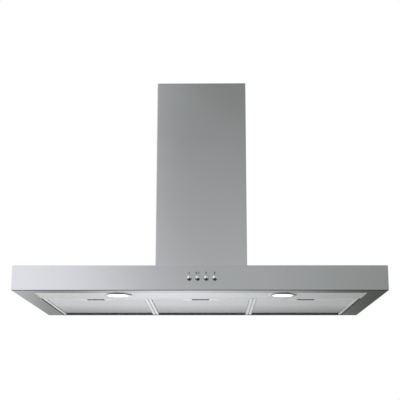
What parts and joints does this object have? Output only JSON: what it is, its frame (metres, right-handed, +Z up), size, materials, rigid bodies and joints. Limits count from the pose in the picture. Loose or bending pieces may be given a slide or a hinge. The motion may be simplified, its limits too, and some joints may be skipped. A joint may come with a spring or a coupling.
{
  "type": "wall mount range hood",
  "caption": "Stainless steel wall mount range hood: flat box canopy with push buttons, lamps and mesh filters under a square chimney cover, with its blower inside.",
  "frame": {"origin": "centre of the four wall screw holes in the chassis's rear panel, on the wall plane, 231 mm above the canopy's underside", "axes": "+X to the right as seen from the room, +Y into the wall, +Z up"},
  "size_m": [0.9, 0.5065, 0.63],
  "materials": {
    "stainless": "brushed lengthwise",
    "galvanised": "zinc coated sheet",
    "ring_chrome": "polished",
    "frosted_glass": "frosted, lit",
    "reflector": "polished",
    "bulb_glass": "clear capsule",
    "ceramic": "unglazed ceramic",
    "filter_aluminium": "satin",
    "filter_mesh": "fine expanded mesh",
    "filter_core": "layered mesh, in shade",
    "latch_steel": "satin",
    "button_chrome": "polished",
    "black_plastic": "matte",
    "grey_plastic": "matte",
    "motor_steel": "satin",
    "shaft_steel": "ground",
    "capacitor_can": "matte",
    "screw_steel": "zinc plated"
  },
  "bodies": {
    "housing": {"canopy_shell": "stainless", "back_panel": "galvanised", "lamp_panel": "stainless", "lamp_ring_left": "ring_chrome", "lamp_ring_right": "ring_chrome", "lamp_glass_left": "frosted_glass", "lamp_glass_right": "frosted_glass", "lamp_cup_left": "reflector", "lamp_cup_right": "reflector", "lamp_bulb_left": "bulb_glass", "lamp_bulb_right": "bulb_glass", "bulb_socket_left": "ceramic", "bulb_socket_right": "ceramic", "switch_block": "black_plastic", "switch_bracket": "galvanised", "chassis": "galvanised", "blower_half_left": "black_plastic", "blower_half_right": "black_plastic", "motor": "motor_steel", "motor_bracket": "galvanised", "capacitor": "capacitor_can", "terminal_box": "grey_plastic", "cable_gland": "black_plastic", "wiring_loom": "black_plastic", "outlet_collar": "black_plastic", "flap_pin": "shaft_steel", "chimney_cover": "stainless", "chassis_screws": "screw_steel", "motor_screws": "screw_steel", "collar_screws": "screw_steel", "switch_screws": "screw_steel"},
    "upper_chimney": {"upper_cover": "stainless", "flue_bracket": "galvanised", "flue_screws": "screw_steel"},
    "rotor": {"impeller_disc": "grey_plastic", "impeller_blades": "grey_plastic", "impeller_rings": "grey_plastic", "motor_shaft": "shaft_steel"},
    "flap_front": {"flap_front": "grey_plastic"},
    "flap_rear": {"flap_rear": "grey_plastic"},
    "filter_left": {"filter_frame_left": "filter_aluminium", "filter_face_left": "filter_mesh", "filter_core_left": "filter_core"},
    "latch_left": {"latch_left": "latch_steel"},
    "filter_centre": {"filter_frame_centre": "filter_aluminium", "filter_face_centre": "filter_mesh", "filter_core_centre": "filter_core"},
    "latch_centre": {"latch_centre": "latch_steel"},
    "filter_right": {"filter_frame_right": "filter_aluminium", "filter_face_right": "filter_mesh", "filter_core_right": "filter_core"},
    "latch_right": {"latch_right": "latch_steel"},
    "button_light": {"button_light": "button_chrome"},
    "button_speed_1": {"button_speed_1": "button_chrome"},
    "button_speed_2": {"button_speed_2": "button_chrome"},
    "button_speed_3": {"button_speed_3": "button_chrome"}
  },
  "joints": [
    {"name": "cover_slide", "type": "slide", "parent": "housing", "child": "upper_chimney", "axis": [0, 0, 1], "range_m": [0, 0.36]},
    {"name": "rotor_spin", "type": "hinge", "parent": "housing", "child": "rotor", "pos_m": [0, -0.11, -0.032], "axis": [1, 0, 0], "continuous": true},
    {"name": "flap_front_hinge", "type": "hinge", "parent": "housing", "child": "flap_front", "pos_m": [0, -0.103, 0.14705], "axis": [-1, 0, 0], "range_deg": [0, 75]},
    {"name": "flap_rear_hinge", "type": "hinge", "parent": "housing", "child": "flap_rear", "pos_m": [0, -0.103, 0.14705], "axis": [1, 0, 0], "range_deg": [0, 75]},
    {"name": "filter_left_hinge", "type": "hinge", "parent": "housing", "child": "filter_left", "pos_m": [0, -0.008, -0.2297], "axis": [1, 0, 0], "range_deg": [0, 60]},
    {"name": "latch_left_slide", "type": "slide", "parent": "filter_left", "child": "latch_left", "axis": [0, 1, 0], "range_m": [0, 0.004], "stiffness_N_per_m": 500},
    {"name": "filter_centre_hinge", "type": "hinge", "parent": "housing", "child": "filter_centre", "pos_m": [0, -0.008, -0.2297], "axis": [1, 0, 0], "range_deg": [0, 60]},
    {"name": "latch_centre_slide", "type": "slide", "parent": "filter_centre", "child": "latch_centre", "axis": [0, 1, 0], "range_m": [0, 0.004], "stiffness_N_per_m": 500},
    {"name": "filter_right_hinge", "type": "hinge", "parent": "housing", "child": "filter_right", "pos_m": [0, -0.008, -0.2297], "axis": [1, 0, 0], "range_deg": [0, 60]},
    {"name": "latch_right_slide", "type": "slide", "parent": "filter_right", "child": "latch_right", "axis": [0, 1, 0], "range_m": [0, 0.004], "stiffness_N_per_m": 500},
    {"name": "button_light_press", "type": "slide", "parent": "housing", "child": "button_light", "axis": [0, 1, 0], "range_m": [0, 0.003], "stiffness_N_per_m": 400},
    {"name": "button_speed_1_press", "type": "slide", "parent": "housing", "child": "button_speed_1", "axis": [0, 1, 0], "range_m": [0, 0.003], "stiffness_N_per_m": 400},
    {"name": "button_speed_2_press", "type": "slide", "parent": "housing", "child": "button_speed_2", "axis": [0, 1, 0], "range_m": [0, 0.003], "stiffness_N_per_m": 400},
    {"name": "button_speed_3_press", "type": "slide", "parent": "housing", "child": "button_speed_3", "axis": [0, 1, 0], "range_m": [0, 0.003], "stiffness_N_per_m": 400}
  ]
}
